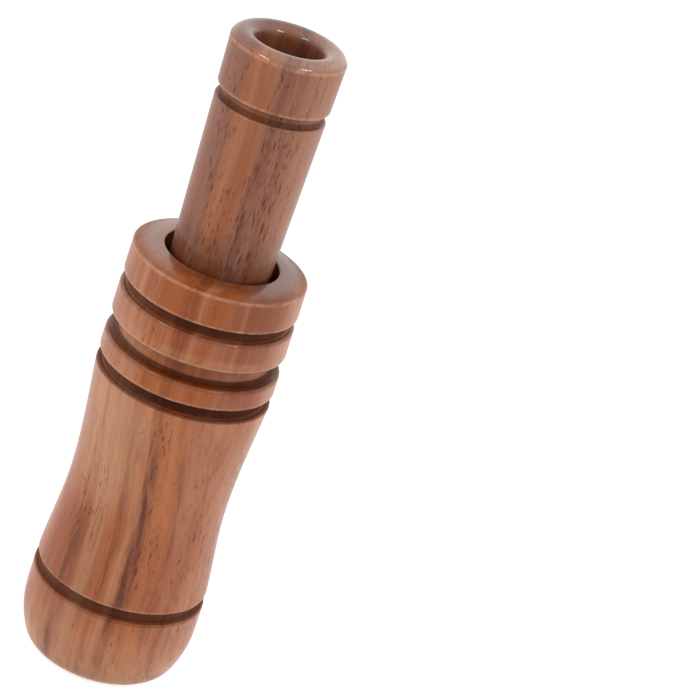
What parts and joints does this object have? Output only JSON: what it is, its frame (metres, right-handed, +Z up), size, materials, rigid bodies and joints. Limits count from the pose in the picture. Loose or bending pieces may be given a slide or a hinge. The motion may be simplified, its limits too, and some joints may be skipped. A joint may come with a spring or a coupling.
{
  "type": "bird call",
  "caption": "Turned wooden bird call: a waisted barrel with collars and grooves, and a slim reed-carrying insert that plugs into its rim.",
  "frame": {"origin": "centre of the flat mouth end that the call stands on", "axes": "+Z up along the axis of the call, from the mouth end to the exhaust end; -Y is the side of the tone board that the reeds lie on"},
  "size_m": [0.0364, 0.0364, 0.1408],
  "materials": {
    "walnut": "turned dark walnut with a satin lacquer",
    "board_plastic": "moulded black plastic",
    "reed_film": "frosted polyester film",
    "cork": "cut cork",
    "ring_rubber": "black rubber"
  },
  "bodies": {
    "barrel": {"barrel": "walnut"},
    "seal_rings": {"upper_seal_ring": "ring_rubber", "lower_seal_ring": "ring_rubber"},
    "insert": {"insert": "walnut", "tone_board": "board_plastic", "wedge": "cork"},
    "lower_reed": {"lower_reed": "reed_film"},
    "upper_reed": {"upper_reed": "reed_film"}
  },
  "joints": [
    {"name": "insert_pull", "type": "slide", "parent": "barrel", "child": "seal_rings", "axis": [0, 0, 1], "range_m": [0, 0.07]},
    {"name": "insert_twist", "type": "hinge", "parent": "seal_rings", "child": "insert", "pos_m": [0, 0, 0.0856], "axis": [0, 0, 1], "continuous": true},
    {"name": "lower_reed_beat", "type": "hinge", "parent": "insert", "child": "lower_reed", "pos_m": [0, -0.0005, 0.058], "axis": [1, 0, 0], "range_deg": [0, 1.8], "stiffness_Nm_per_rad": 0.005, "deforming": ["lower_reed"]},
    {"name": "upper_reed_beat", "type": "hinge", "parent": "insert", "child": "upper_reed", "pos_m": [0, -0.0008, 0.058], "axis": [1, 0, 0], "range_deg": [0, 1.8], "stiffness_Nm_per_rad": 0.005, "deforming": ["upper_reed"]}
  ],
  "couplings": [
    {"joint": "upper_reed_beat", "follows": "lower_reed_beat", "ratio": 1}
  ]
}
